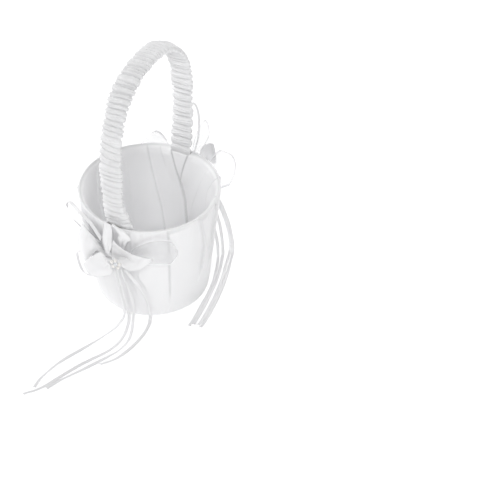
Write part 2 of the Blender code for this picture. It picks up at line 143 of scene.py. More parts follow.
def gridPiece(name, points, size, wrap=False, capEnds=False, paintedShadeAndDensity=None):
    # points[v][u] joined by quads; size is the cloth's (along u, along v) in metres, for its UV map
    points = np.asarray(points, float)
    rows, columns = points.shape[:2]
    spans = columns if wrap else columns - 1
    v, u = np.meshgrid(np.arange(rows - 1), np.arange(spans), indexing="ij")
    v, u = v.ravel(), u.ravel()
    nextU = (u + 1) % columns
    here, above = v * columns, (v + 1) * columns
    faceList = np.stack([here + u, here + nextU, above + nextU, above + u], axis=1).tolist()
    if capEnds:
        faceList.append(list(range(columns))[::-1])
        faceList.append([(rows - 1) * columns + k for k in range(columns)])
    mesh = bpy.data.meshes.new(name)
    mesh.from_pydata(points.reshape(-1, 3).tolist(), [], faceList)
    layer = mesh.uv_layers.new(name="cloth")
    corners = np.stack([u, u + 1, u + 1, u], axis=1) / spans * size[0] / mm
    cornersV = np.stack([v, v, v + 1, v + 1], axis=1) / (rows - 1) * size[1] / mm
    flat = np.zeros((len(mesh.loops), 2))
    flat[: corners.size, 0] = corners.ravel()
    flat[: corners.size, 1] = cornersV.ravel()
    layer.data.foreach_set("uv", flat.ravel())
    # each point's painted shade, which on organza is its density instead
    if paintedShadeAndDensity is not None:
        depth = mesh.attributes.new("paintedShadeAndDensity", "FLOAT", "POINT")
        depth.data.foreach_set("value", np.clip(paintedShadeAndDensity, 0, 1).astype(np.float32).ravel())
    mesh.shade_smooth()
    mesh.validate()
    return addObject(name, mesh)


def thicken(piece, thickness, offset=-1.0):
    modifier = piece.modifiers.new("thickness", "SOLIDIFY")
    modifier.thickness = thickness
    modifier.offset = offset
    modifier.use_even_offset = False


def dress(piece, material, slot, *standsFor):
    piece.data.materials.clear()
    piece.data.materials.append(material)
    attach(piece, "root")
    if standsFor:
        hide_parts(*standsFor)
    return piece


class Wire:
    # a shader socket that takes Python's operators
    def __init__(self, sheet, socket):
        self.sheet, self.socket = sheet, socket

    def calc(self, operation, *values):
        return self.sheet.node("ShaderNodeMath", {"operation": operation}, dict(enumerate(values)))

    def __add__(self, other):
        return self.calc("ADD", self, other)

    def __radd__(self, other):
        return self.calc("ADD", other, self)

    def __sub__(self, other):
        return self.calc("SUBTRACT", self, other)

    def __rsub__(self, other):
        return self.calc("SUBTRACT", other, self)

    def __mul__(self, other):
        return self.calc("MULTIPLY", self, other)

    def __rmul__(self, other):
        return self.calc("MULTIPLY", other, self)


class Finish:
    # a material under construction: every node comes from node()
    def __init__(self, name):
        self.material = bpy.data.materials.new(name)
        self.material.use_nodes = True
        self.tree = self.material.node_tree
        self.shader = self.tree.nodes["Principled BSDF"]

    def node(self, kind, settings=None, inputs=None, output=0):
        made = self.tree.nodes.new(kind)
        for key, value in (settings or {}).items():
            setattr(made, key, value)
        for key, value in (inputs or {}).items():
            self.set(made.inputs[key], value)
        return Wire(self, made.outputs[output])

    def set(self, socket, value):
        if isinstance(value, Wire):
            self.tree.links.new(value.socket, socket)
        else:
            socket.default_value = value

    def surface(self, **values):
        for key, value in values.items():
            name = " ".join(word.capitalize() for word in key.split("_")).replace("Ior", "IOR")
            self.set(self.shader.inputs[name], (*value, 1) if isinstance(value, tuple) else value)
        return self.material

    def place(self, kind):
        return self.node("ShaderNodeTexCoord", output=["Generated", "Normal", "UV", "Object"].index(kind))

    def noise(self, where, scale, detail=3.0, roughness=0.5):
        return self.node("ShaderNodeTexNoise", None,
                         {"Vector": where, "Scale": scale, "Detail": detail, "Roughness": roughness})

    def mix(self, factor, first, second):
        first, second = ((*c, 1) if isinstance(c, tuple) else c for c in (first, second))
        return self.node("ShaderNodeMix", {"data_type": "RGBA"}, {0: factor, 6: first, 7: second}, 2)

    def paintedShadeAndDensity(self):
        # the painted shade on each point of a cloth, from 0 to 1, which darkens its colour; on organza the
        # same value is its density instead
        return self.node("ShaderNodeAttribute", {"attribute_name": "paintedShadeAndDensity"}, output=2)

    def bump(self, height, strength, distance, under=None):
        inputs = {"Height": height, "Strength": strength, "Distance": distance}
        if under:
            inputs["Normal"] = under
        return self.node("ShaderNodeBump", None, inputs)


view = {"place": (0.7064, -1.1932, 1.2327), "target": (0.0593, 0.0769, 0.0), "lens": 146.95, "sensor": 36}


def aimAt(thing, place, target):
    thing.location = place
    aim = Vector(target) - Vector(place)
    thing.rotation_euler = aim.to_track_quat("-Z", "Y").to_euler()


def makeCamera():
    camera = addObject("camera", bpy.data.cameras.new("camera"))
    aimAt(camera, view["place"], view["target"])
    camera.data.lens = view["lens"]
    camera.data.sensor_width = view["sensor"]
    bpy.context.scene.camera = camera


lamps = [
    {"name": "left", "place": (-1.2, -0.1, 0.9), "size": 0.8, "power": 8.9},
    {"name": "fill", "place": (0.6, -1.0, 1.3), "size": 0.6, "power": 11.5},
    {"name": "behind", "place": (0.0, 1.3, 0.8), "size": 0.8, "power": 7.0},
    {"name": "right", "place": (1.3, -0.1, 0.6), "size": 0.8, "power": 0.8},
]
studio = {"sky": 0.30, "floor": (0.96, 0.96, 0.965), "floorGlow": 0.30, "floorHalf": 4.0,
          "floorLevel": -0.0003, "lampTarget": (0, 0, 0.1)}


def makeStudio():
    scene = bpy.context.scene
    scene.view_settings.view_transform = "Standard"
    world = bpy.data.worlds.new("studio")
    scene.world = world
    world.use_nodes = True
    sky = world.node_tree.nodes["Background"]
    sky.inputs["Color"].default_value = (1, 1, 1, 1)
    sky.inputs["Strength"].default_value = studio["sky"]
    for lamp in lamps:
        light = bpy.data.lights.new(lamp["name"], "AREA")
        light.energy = lamp["power"]
        light.size = lamp["size"]
        aimAt(addObject(lamp["name"], light), lamp["place"], studio["lampTarget"])
    half = studio["floorHalf"]
    mesh = bpy.data.meshes.new("floor")
    corners = [(-half, -half, 0), (half, -half, 0), (half, half, 0), (-half, half, 0)]
    mesh.from_pydata(corners, [], [(0, 1, 2, 3)])
    floor = addObject("floor", mesh)
    floor.location.z = studio["floorLevel"]
    paint = Finish("floorPaper")
    grain = paint.noise(paint.place("Object"), 900.0)
    mesh.materials.append(paint.surface(
        base_color=studio["floor"], roughness=0.9, normal=paint.bump(grain, 0.05, 0.0002),
        emission_color=(1.0, 1.0, 1.0), emission_strength=studio["floorGlow"]))


def clothFinish(name, colour, shade, rough, weave, crumple):
    # woven satin: long floats along the cloth, a soft crumple, a faint unevenness of tone, and painted shade
    # where the mesh carries it
    cloth = Finish(name)
    flat = cloth.place("UV")
    space = cloth.place("Object")
    uneven = cloth.noise(space, 55.0, 2.0)
    creases = cloth.noise(space, 420.0, 4.0, 0.6)
    floats = cloth.node("ShaderNodeTexWave", {"wave_type": "BANDS", "bands_direction": "DIAGONAL"},
                        {"Vector": flat, "Scale": weave, "Distortion": 1.5, "Detail": 1.0,
                         "Detail Scale": 2.0}, 1)
    threads = cloth.bump(floats, 0.05, 0.00008)
    folded = cloth.bump(creases, crumple, 0.0005, threads)
    tone = cloth.mix(uneven, colour, shade)
    # painted shade: the colour darkens to two thirds wherever the mesh carries painted shade, in folds,
    # grooves, valleys and hollows
    paintedShade = tuple(c * 0.66 for c in shade)
    return cloth.surface(
        base_color=cloth.mix(cloth.paintedShadeAndDensity(), tone, paintedShade), roughness=rough + 0.08 * (creases - 0.5),
        normal=folded, sheen_weight=0.03, sheen_roughness=0.5, specular_ior_level=0.4)


# width runs across the leaf's UV map; the satin edge fades out between its two distances, in mm
organza = {"width": 26 * mm, "cover": 0.32, "round": 0.16, "edge": (1.2, 1.6), "gather": 0.4 * mm,
           "pleats": 4}


def organzaFinish():
    # sheer: fine crossed threads with gaps, and a solid satin selvedge along both long edges
    cloth = Finish("organza")
    flat = cloth.place("UV")
    across = cloth.node("ShaderNodeSeparateXYZ", None, {"Vector": flat}, 1)
    soft = cloth.noise(cloth.place("Object"), 90.0, 2.0)
    weave = cloth.node("ShaderNodeTexWave", {"wave_type": "BANDS", "bands_direction": "X"},
                       {"Vector": flat, "Scale": 1.1, "Distortion": 0.6, "Detail": 1.0}, 1)
    inner, outer = organza["edge"]
    width = organza["width"] / mm
    solid = cloth.node("ShaderNodeMapRange", {"interpolation_type": "SMOOTHSTEP"},
                       {0: across, 1: inner, 2: outer, 3: 1.0, 4: 0.0})
    solidFar = cloth.node("ShaderNodeMapRange", {"interpolation_type": "SMOOTHSTEP"},
                          {0: across, 1: width - outer, 2: width - inner, 3: 0.0, 4: 1.0})
    rim = solid.calc("MAXIMUM", solid, solidFar)
    rim = rim.calc("MAXIMUM", rim, cloth.paintedShadeAndDensity())
    sheer = organza["cover"] + 0.12 * (soft - 0.5) + 0.1 * (weave - 0.5)
    alpha = rim * (0.9 - sheer) + sheer
    return cloth.surface(base_color=(0.86, 0.86, 0.87), roughness=0.5, alpha=alpha,
                         normal=cloth.bump(weave, 0.1, 0.0001), specular_ior_level=0.3)


def plainFinish(name, colour, rough, grainScale, grainDepth, **more):
    # moulded, pressed or felted stuff with a fine even grain
    stuff = Finish(name)
    space = stuff.place("Object")
    grain = stuff.noise(space, grainScale, 5.0, 0.65)
    tone = stuff.noise(space, 60.0, 2.0)
    shade = tuple(c * 0.94 for c in colour)
    return stuff.surface(base_color=stuff.mix(tone, colour, shade), roughness=rough,
                         normal=stuff.bump(grain, 0.5, grainDepth), **more)


def makeFinishes():
    return {
        "satin": clothFinish("coverSatin", (0.90, 0.90, 0.905), (0.86, 0.86, 0.87), 0.42, 1.2, 0.10),
        # painted shade: the sleeve is a darker copy of the white satin, for the shade in its ruching
        "sleeve": clothFinish("sleeveSatinPaintedShade", (0.87, 0.87, 0.875), (0.82, 0.82, 0.83), 0.36, 1.4, 0.22),
        # painted light: the lining is a lighter copy of the white satin, to brighten the inside of the bucket
        "lining": clothFinish("liningSatinPaintedLight", (0.965, 0.965, 0.97), (0.94, 0.94, 0.95), 0.5, 1.2, 0.10),
        "petal": clothFinish("petalSatin", (0.90, 0.90, 0.905), (0.86, 0.86, 0.87), 0.32, 1.4, 0.12),
        "ribbon": clothFinish("ribbonSatin", (0.88, 0.88, 0.885), (0.83, 0.83, 0.84), 0.33, 1.6, 0.08),
        "organza": organzaFinish(),
        "card": plainFinish("greyCard", (0.72, 0.70, 0.66), 0.85, 700.0, 0.0002),
        "plastic": plainFinish("stripPlastic", (0.85, 0.85, 0.84), 0.45, 300.0, 0.00005),
        "felt": plainFinish("craftFelt", (0.9, 0.9, 0.9), 0.95, 1500.0, 0.0004, sheen_weight=0.5),
        "glue": plainFinish("hotGlue", (0.86, 0.84, 0.78), 0.3, 150.0, 0.0003, coat_weight=0.4),
        "pearl": plainFinish("pearlCoat", (0.90, 0.88, 0.85), 0.16, 400.0, 0.00001, coat_weight=1.0,
                             coat_roughness=0.05),
        "stone": plainFinish("rhinestone", (0.78, 0.80, 0.84), 0.04, 100.0, 0.000001, coat_weight=1.0,
                             specular_ior_level=0.9),
        "thread": plainFinish("thread", (0.9, 0.9, 0.9), 0.6, 2500.0, 0.0001),
    }


# the ribbon tails' routes in mm, from the bow down the wall and over the floor
tailRoutes = {
    "front_tail_1": [(-1.3, -63, 65), (-1, -64, 59), (0, -63, 48), (2, -61, 34), (3, -59, 20),
        (3, -57.5, 10), (2.5, -58, 4), (2, -62, 1.6), (1.5, -72, 1.1), (-3, -88, 1.1),
        (-10, -107, 1.1), (-18, -127, 1.1), (-22, -142, 1.1), (-24, -157, 1.1),
        (-23, -169, 1.1)],
    "front_tail_2": [(1.6, -63, 65), (2.5, -64, 58), (4.5, -62.5, 44), (6, -60.5, 30), (7, -58.5, 16),
        (7.6, -57.5, 7), (8.6, -60, 2), (11, -68, 1.1), (13.5, -79, 1.1), (13.6, -89, 1.1),
        (10.6, -101, 1.1), (4.2, -114, 1.1), (-2.6, -128, 1.1), (-10, -147, 1.1),
        (-18, -167, 1.1), (-28, -180, 1.1)],
    "front_tail_3": [(4.8, -63, 65), (7.5, -63, 56), (10.5, -61, 42), (12.2, -59, 28), (12.4, -57.5, 14),
        (12, -57.5, 6), (13, -61, 1.8), (16.5, -69, 1.1), (19.5, -79, 1.1), (19.8, -88, 1.1),
        (18, -98, 1.1), (12.5, -110.5, 1.1), (7, -122, 1.1), (1, -134, 1.1), (-8, -151, 1.1),
        (-13.5, -165, 1.1)],
    "front_tail_4": [(8.3, -62, 65), (13, -60.5, 57), (18, -57.5, 46), (21.5, -54, 34), (23.5, -51, 22),
        (24, -49, 11), (24.3, -48.7, 5), (25, -51, 2), (26.5, -56, 1.1), (28, -69, 1.1),
        (27, -85, 1.1), (23.5, -101, 1.1), (18.5, -111, 1.1), (12.5, -118.5, 1.1)],
    "back_tail_1": [(6, 64.5, 70), (13, 67, 69), (22, 69.5, 63), (31, 70.5, 53), (38, 70, 39),
        (43, 69.5, 26), (45.5, 69, 12), (47, 66, 3.5), (49, 60.5, 1.1), (53, 48, 1.1),
        (58, 31, 1.1), (62, 14, 1.1), (65.5, -6, 1.1), (68, -27, 1.1), (68.5, -38, 1.1)],
    "back_tail_2": [(5, 67.5, 67), (12, 73, 62), (21, 74.5, 55), (29.5, 74, 44), (35.5, 73, 31),
        (40.5, 71.5, 18), (43.3, 69, 6), (45, 63, 1.1), (50, 46, 1.1), (55, 30, 1.1),
        (59, 13, 1.1), (62.5, -7, 1.1), (65, -27, 1.1), (65, -36, 1.1)],
    "back_tail_3": [(6, 63.5, 66.5), (12, 66.5, 62), (20, 68, 56), (27, 67.5, 47), (33, 66, 33),
        (37, 63.5, 18), (40, 60, 6), (41.5, 56, 1.1), (48, 38.5, 1.1), (52.5, 22, 1.1),
        (55.5, 6, 1.1), (58.3, -11, 1.1), (60.5, -30, 1.1), (61, -37, 1.1)],
    "back_tail_4": [(5, 63.5, 62), (10, 65.5, 57), (17, 66.5, 50), (24, 65.5, 38), (30, 63, 24),
        (34.5, 60, 10), (37, 56, 3), (39, 52, 1.1), (45, 37.5, 1.1), (49.8, 22, 1.1),
        (52.8, 6, 1.1), (55.3, -11, 1.1), (57.5, -28, 1.1), (58.5, -41, 1.1)],
}
# loops, as (degrees round the wall from the bow's middle, height in mm, stand-off in mm)
loopRoutes = {
    "front_loop_high": [(-14, 87, 5.2), (-22, 90, 6), (-31, 93, 8), (-41, 93, 9.5),
        (-50, 91, 10.5), (-58, 90, 12.5), (-60, 93, 12.5), (-56, 99, 11),
        (-48, 107, 9), (-40, 111, 8), (-30, 111, 7), (-20, 107, 5.8),
        (-14, 98, 5.2), (-10.5, 92, 5)],
    "front_loop_low": [(-11, 68, 5), (-22, 66, 5.5), (-32, 61.5, 7.5), (-38, 57.5, 8.8),
        (-44, 53, 10.2), (-51, 45, 12.3), (-51, 35, 12.6), (-44, 30, 11.5),
        (-34, 34, 10), (-24, 40, 9.3), (-17, 46, 8.5), (-12, 55, 7), (-9.5, 64, 5.5)],
    "back_loop_tall": [(4, 89, 4), (8, 105, 4.5), (10, 121, 6), (8.8, 135, 8), (7, 144, 9),
        (5, 149.5, 9), (2.5, 151, 9), (-0.5, 146, 8.5), (-2, 134, 7),
        (-1.5, 118, 5.5), (-0.5, 103, 4.5), (-0.5, 88, 4)],
    "back_loop_low": [(-12, 74, 4), (-24, 70, 5), (-36, 66, 8), (-43, 56, 10), (-40, 44, 10),
        (-31, 42, 7), (-22, 50, 5), (-14, 64, 4)],
}
# slant is how far the cut end leans, crown how much the ribbon's middle stands up
narrowRibbon = {"width": 3.0 * mm, "thickness": 0.3 * mm, "sides": 12, "slant": 2.2 * mm, "crown": 0.12 * mm,
                "tailTwist": 0.4, "loopTwist": 0.35, "tailPoints": 160, "loopPoints": 120}


def ribbonMesh(name, line, facing, twist):
    # a flat ribbon along the line: facing is the direction its broad side looks, twist turns it, in radians
    along = unit(np.gradient(line, axis=0))
    across = unit(np.cross(along, facing))
    normal = np.cross(across, along)
    c, s = np.cos(twist)[:, None], np.sin(twist)[:, None]
    across, normal = across * c + normal * s, normal * c - across * s
    turn = circle(narrowRibbon["sides"])
    half = narrowRibbon["width"] / 2
    wide = np.sign(np.cos(turn)) * np.abs(np.cos(turn)) ** 0.8 * narrowRibbon["width"] / 2
    thick = np.sin(turn) * narrowRibbon["thickness"] / 2 + narrowRibbon["crown"] * (1 - (wide / half) ** 2)
    rings = line[:, None, :] + across[:, None, :] * wide[None, :, None]
    rings = rings + normal[:, None, :] * thick[None, :, None]
    slant = (wide / narrowRibbon["width"] - 0.5) * narrowRibbon["slant"]
    rings[-1] += along[-1][None, :] * slant[:, None]
    length = np.linalg.norm(np.diff(line, axis=0), axis=1).sum()
    piece = gridPiece(name, rings, (narrowRibbon["width"] * 2, length), wrap=True, capEnds=True)
    return piece, length


def makeTails(finish):
    for k, (name, route) in enumerate(tailRoutes.items()):
        line, length = evenCurve(np.array(route) * mm, narrowRibbon["tailPoints"])
        wander = Ripple(40 + k, 5)
        along = np.linspace(0, length, len(line)) / (60 * mm)
        lying = 1 - smoothStep(3 * mm, 16 * mm, line[:, 2])
        radial = unit(line * (1, 1, 0))
        hanging = radial if route[0][1] < 0 else np.array([[0.6, -0.65, 0.5]])
        facing = unit(hanging * (1 - lying)[:, None] + np.array([0, 0, 1.0]) * lying[:, None])
        twist = narrowRibbon["tailTwist"] * wander(along)
        piece, length = ribbonMesh("ribbonTail_" + name, line, facing, twist)
        dress(piece, finish, "ribbon_satin", name)


def makeLoops(finish):
    for k, (name, route) in enumerate(loopRoutes.items()):
        points = [wallPoint(sideOf(name), *p) for p in route]
        line, _ = evenCurve(points, narrowRibbon["loopPoints"])
        middle = line.mean(axis=0)
        facing = unit(line - middle) + 0.15 * unit(middle * (1, 1, 0))
        facing += 0.3 * np.array([0.4, -0.6, 0.55])
        twist = narrowRibbon["loopTwist"] * Ripple(60 + k, 4)(np.linspace(0, 1.5, len(line)))
        piece, length = ribbonMesh("ribbonLoop_" + name, line, facing, twist)
        dress(piece, finish, "ribbon_satin", name)


def fold(line, rise, reach, side, paintedGroove=0, sag=0):
    # a fold pressed in the cloth: line is (degrees, height in mm) pairs from top to bottom, rise how far it
    # stands up and reach how wide its raised side is, in mm, side which side that is (1 is towards +angle),
    # groove how much painted shade darkens the colour along its foot, and sag how far the cloth beside it
    # sinks, in mm
    return {"line": np.array(line, float)[::-1], "rise": rise, "reach": reach, "side": side,
            "paintedGroove": paintedGroove, "sag": sag}


coverFolds = [
    fold([(44, 109), (44.5, 100), (45.5, 60), (46.5, 16)], 2.0, 12, 1, paintedGroove=0.37, sag=0.8),
    fold([(73, 109), (78, 88), (82, 70), (80, 50), (78, 28)], 2.2, 9, 1, paintedGroove=0.62, sag=1.1),
    fold([(96, 109), (98, 92), (96, 60), (93, 34)], 1.8, 8, 1, paintedGroove=0.62, sag=0.8),
    fold([(-31, 96), (-24, 52), (-18, 26), (-15, 8)], 1.9, 9, 1, paintedGroove=0.25, sag=0.5),
    fold([(18, 52), (22.5, 42), (26, 30)], 0.9, 5, 1, paintedGroove=0.25),
    fold([(10, 44), (14, 36), (16, 26)], 0.6, 4, 1, paintedGroove=0.19),
    fold([(-66, 109), (-63, 70), (-60, 20)], 1.6, 10, -1, paintedGroove=0.31),
    fold([(-104, 109), (-100, 74), (-101, 30)], 1.7, 9, 1, paintedGroove=0.37),
    fold([(-140, 109), (-143, 66), (-141, 18)], 1.5, 10, -1, paintedGroove=0.31),
    fold([(132, 109), (130, 76), (133, 24)], 1.8, 9, 1, paintedGroove=0.37),
    fold([(163, 109), (160, 70), (161, 34)], 1.4, 8, -1, paintedGroove=0.31),
]
# the lining's folds are counted from the back foot, towards +X
liningFolds = [
    fold([(-32, 110), (-29, 89), (-23.5, 62), (-19.5, 46), (-16.5, 27), (-15, 8)], 1.4, 16, -1, paintedGroove=0.5),
    fold([(-10, 110), (-4.5, 92), (1, 75), (6.5, 58), (10, 41), (13, 20), (14, 7)], 2.2, 14, -1, paintedGroove=1.2),
    fold([(9.5, 110), (5.8, 97), (2, 80), (1.5, 74)], 2.0, 12, 1, paintedGroove=1.1),
    fold([(53, 109), (43, 90), (41, 75), (40, 58)], 1.8, 9, 1, paintedGroove=0.8),
    fold([(34, 104), (25, 83), (18, 62), (15, 45)], 0.8, 9, 1, paintedGroove=0.2),
    fold([(-20, 110), (-15, 95), (-13, 86)], 0.6, 6, 1, paintedGroove=0.3),
    fold([(-56, 109), (-51, 80), (-49, 30)], 0.6, 12, -1),
    fold([(-84, 109), (-88, 70), (-86, 20)], 1.0, 12, 1),
    fold([(-112, 109), (-109, 80), (-111, 24)], 1.0, 12, -1, paintedGroove=0.1),
    fold([(-141, 109), (-146, 74), (-143, 20)], 1.0, 12, 1, paintedGroove=0.1),
    fold([(76, 109), (70, 80), (72, 30)], 1.6, 13, 1, paintedGroove=0.7),
    fold([(104, 109), (108, 70), (104, 16)], 1.4, 12, -1, paintedGroove=0.6),
    fold([(139, 109), (136, 76), (139, 24)], 1.4, 12, 1, paintedGroove=0.5),
    fold([(171, 100), (176, 70), (174, 24)], 1.6, 12, -1, paintedGroove=0.5),
]


# sagReach in mm; the painted shade along a fold's foot is moved this far off it and is this wide, in mm
pressing = {"sagReach": 9, "paintedGrooveShift": 0.5, "paintedGrooveWidth": 0.75}


def foldHeights(angle, height, folds, sharp=0.7):
    # how far the folds lift the cloth, in mm, at each angle (degrees) and height (mm), and the painted shade
    # along each fold's foot
    total, paintedShadeAndDensity = np.zeros(angle.shape), np.zeros(angle.shape)
    for one in folds:
        line = one["line"]
        centre = np.interp(height, line[:, 1], line[:, 0])
        offset = (angle - centre + 180) % 360 - 180
        offset = np.radians(offset) * bucket["meanRadius"] * one["side"]
        raised = np.exp(-(np.maximum(offset, 0) / one["reach"]) ** 1.3)
        shape = np.where(offset > 0, raised, np.exp(-(offset / sharp) ** 2))
        sag = one["sag"] * np.where(offset < 0, np.exp(-(offset / pressing["sagReach"]) ** 2), 0)
        top, low = line[-1, 1], line[0, 1]
        fade = smoothStep(low - 4, low + 20, height) * (1 - smoothStep(top - 3, top + 7, height))
        total += (one["rise"] * shape - sag) * fade
        # painted shade: a band of darker colour along each fold's foot
        foot = np.exp(-((offset + pressing["paintedGrooveShift"]) / pressing["paintedGrooveWidth"]) ** 2)
        paintedShadeAndDensity = np.maximum(paintedShadeAndDensity, one["paintedGroove"] * foot * fade)
    return total, paintedShadeAndDensity


welt = {"radius": 0.75 * mm, "columns": 720, "sides": 14}
# rows are counted down the wall, round the hem and under the base; the rest is in mm
cover = {"columns": 560, "rows": (60, 14, 10), "hem": 4.0, "floorGap": 1.1, "turnIn": 38.0, "gather": 0.16,
         "slack": 0.35, "ease": 0.5}


def coverProfile():
    # (radius, height) in mm from the rim down the wall, round the hem and in under the base
    weltMiddle = (bucket["rimRadius"] / mm + 0.2 - welt["radius"] / mm,
                  (bucket["height"] - welt["radius"]) / mm)
    top = weltMiddle[1] - 0.9
    lowest = cover["floorGap"]
    hem = cover["hem"]
    centreR = coverRadius((lowest + hem) * mm) / mm - hem
    centreZ = lowest + hem
    wall = [(weltMiddle[0] - 0.1, weltMiddle[1]), (weltMiddle[0], weltMiddle[1] - 0.4)]
    wallRows, hemRows, baseRows = cover["rows"]
    drop = np.linspace(0, 1, wallRows) ** 1.3  # closer together near the rim
    wall += [(coverRadius(z * mm) / mm, z) for z in top + (centreZ - top) * drop]
    corner = [(centreR + hem * cos(a), centreZ - hem * sin(a)) for a in np.linspace(0.05, pi / 2, hemRows)]
    under = [(r, lowest) for r in np.linspace(centreR - 0.5, cover["turnIn"], baseRows)]
    return np.array(wall + corner + under)


def makeCover(finish):
    profile = coverProfile()
    angle = np.linspace(-180, 180, cover["columns"], endpoint=False)
    angle, _ = np.meshgrid(angle, profile[:, 0])
    radius, height = (np.repeat(profile[:, k: k + 1], cover["columns"], axis=1) for k in (0, 1))
    turn = np.radians(angle)
    lift, paintedShadeAndDensity = foldHeights(angle, height, coverFolds)
    broad, fine = Ripple(3), Ripple(5)
    lift += cover["slack"] * 0.5 * (broad(angle / 34, height / 60) * smoothStep(2, 25, height))
    nearRim = smoothStep(70, 106, height)
    lift += cover["gather"] * fine(angle / 5.2, height / 90) * nearRim
    nearHem = (1 - smoothStep(2, 14, height)) * smoothStep(36, 49, radius)
    lift += 0.28 * Ripple(8)(angle / 6, height / 40) * nearHem
    lift = np.maximum(lift + cover["ease"] * smoothStep(4, 12, height), -0.25)
    lift *= 1 - 0.85 * smoothStep(bucket["height"] / mm - 4, bucket["height"] / mm - 1.6, height)
    wall = smoothStep(1.6, 5, height)
    radius = radius + lift * (0.25 + 0.75 * wall)
    points = np.stack([radius * np.sin(turn), -radius * np.cos(turn), height], axis=-1) * mm
    size = (2 * pi * bucket["meanRadius"] * mm, 120 * mm)
    piece = gridPiece("coverSatin", points[::-1], size, wrap=True, paintedShadeAndDensity=paintedShadeAndDensity[::-1])
    thicken(piece, 0.5 * mm)
    dress(piece, finish, "white_satin", "outer_cover")


# in mm, but for lapFrom: the share of the rows after which the top edge turns out over the board
lining = {"columns": 600, "rows": 82, "lap": 0.55, "ease": 0.4, "footFace": 1.7, "dip": 0.4, "footHalf": 9.3,
          "bottom": 5.6, "lapFrom": 0.97}


def makeLining(finish):
    angle = np.linspace(-180, 180, lining["columns"], endpoint=False)
    v = np.linspace(0, 1, lining["rows"])
    angle, v = np.meshgrid(angle, v)
    turn = np.radians(angle)
    across = np.abs(np.sin(turn)) * 62
    foot = 1 - smoothStep(lining["footHalf"], lining["footHalf"] + 1.3, across)
    bulge = 1 - smoothStep(lining["footHalf"] - 1, lining["footHalf"] + 5, across)
    top = bucket["boardTop"] / mm - lining["dip"] * foot
    height = lining["bottom"] + (top - lining["bottom"]) * np.minimum(v / lining["lapFrom"], 1)
    lift, paintedShadeAndDensity = foldHeights(angle, height, liningFolds, 0.6)
    lift += lining["ease"]
    lift += 0.45 * (Ripple(21)(angle / 40, height / 55) + 0.6) * smoothStep(6, 30, height)
    lift += 0.12 * Ripple(23)(angle / 7, height / 80) * smoothStep(75, 105, height)
    lift = np.maximum(lift, 0)
    lift *= 1 - 0.75 * smoothStep(102, 107.5, height) * (1 - foot)
    radius = coverRadius(height * mm) / mm - bucket["boardInset"] / mm - lining["lap"] - lift
    # over each of the handle's feet the cloth lies flat against the sleeve
    footLine = np.array(handle["halfLine"])
    face = np.interp(height, footLine[:, 1], footLine[:, 0]) - lining["footFace"]
    flat = face / np.maximum(np.abs(np.cos(turn)), 0.5)
    covered = smoothStep(66, 96, height) * bulge
    radius = radius + np.minimum(flat - radius, 0) * covered
    # beside the feet the top edge turns out over the board and ends against the welt
    over = np.clip((v - lining["lapFrom"]) / (1 - lining["lapFrom"]), 0, 1) * (1 - foot)
    weltInside = (bucket["rimRadius"] - 2 * welt["radius"]) / mm + 0.3
    weltUp = (bucket["height"] - bucket["boardTop"] - welt["radius"]) / mm
    radius = radius + (weltInside - radius) * np.sin(over * pi / 2)
    height = height + weltUp * (1 - np.cos(over * pi / 2)) + 0.25 * np.sin(over * pi)
    # painted shade: the turned-out top edge is darkened where it runs in under the welt
    paintedShadeAndDensity = np.maximum(paintedShadeAndDensity, 0.5 * over)
    points = np.stack([radius * np.sin(turn), radius * np.cos(turn), height], axis=-1) * mm
    piece = gridPiece("liningSatinPaintedLight", points, (2 * pi * 54 * mm, 105 * mm), wrap=True, paintedShadeAndDensity=paintedShadeAndDensity)
    thicken(piece, 0.4 * mm, offset=1.0)
    dress(piece, finish, "lining_satin", "lining")


liningBase = {"rings": 60, "columns": 240, "radius": 47.0, "height": 5.3, "gathers": 16}


def makeLiningBase(finish):
    edge = liningBase["radius"]
    radius, turn = np.meshgrid(np.linspace(0.4, edge, liningBase["rings"]), circle(liningBase["columns"]),
                               indexing="ij")
    x, y = radius * np.cos(turn), radius * np.sin(turn)
    height = liningBase["height"] + 0.35 * (Ripple(31)(x / 40, y / 40) + 1) * smoothStep(48, 30, radius)
    gathers = np.sin(turn * liningBase["gathers"] + 2 * Ripple(32)(turn, 0))
    height += 0.25 * gathers * smoothStep(30, edge, radius)
    points = np.stack([x, y, height], axis=-1) * mm
    piece = gridPiece("liningBase", points, (2 * edge * mm, 2 * edge * mm), wrap=True)
    closeMiddle(piece)
    thicken(piece, 0.4 * mm)
    dress(piece, finish, "lining_satin", "lining_base")


def closeMiddle(piece):
    bm = bmesh.new()
    bm.from_mesh(piece.data)
    edges = [e for e in bm.edges if e.is_boundary and e.verts[0].co.xy.length < 2 * mm]
    bmesh.ops.contextual_create(bm, geom=edges)
    bmesh.ops.recalc_face_normals(bm, faces=bm.faces)
    bm.to_mesh(piece.data)
    bm.free()


def makeWelt(finish):
    turn, around = np.meshgrid(circle(welt["columns"]), circle(welt["sides"]), indexing="ij")
    centre = bucket["rimRadius"] + 0.2 * mm - welt["radius"]
    puff = 1 + 0.05 * np.sin(turn * 150 + 3 * around) + 0.05 * Ripple(71)(turn * 14, np.cos(around))
    radius = centre + welt["radius"] * puff * np.cos(around)
    sway = 0.25 * mm * Ripple(72)(turn * 2.2)
    height = bucket["height"] - welt["radius"] + welt["radius"] * puff * np.sin(around) + np.minimum(sway, 0)
    points = np.stack([radius * np.cos(turn), radius * np.sin(turn), height], axis=-1)
    points = np.concatenate([points, points[:1]])
    piece = gridPiece("rimWelt", points, (7 * mm, 2 * pi * 61 * mm), wrap=True)
    mergeDoubles(piece)
    dress(piece, finish, "white_satin", "rim_welt")


def mergeDoubles(piece):
    bm = bmesh.new()
    bm.from_mesh(piece.data)
    bmesh.ops.remove_doubles(bm, verts=bm.verts, dist=0.00001)
    bmesh.ops.recalc_face_normals(bm, faces=bm.faces)
    bm.to_mesh(piece.data)
    bm.free()


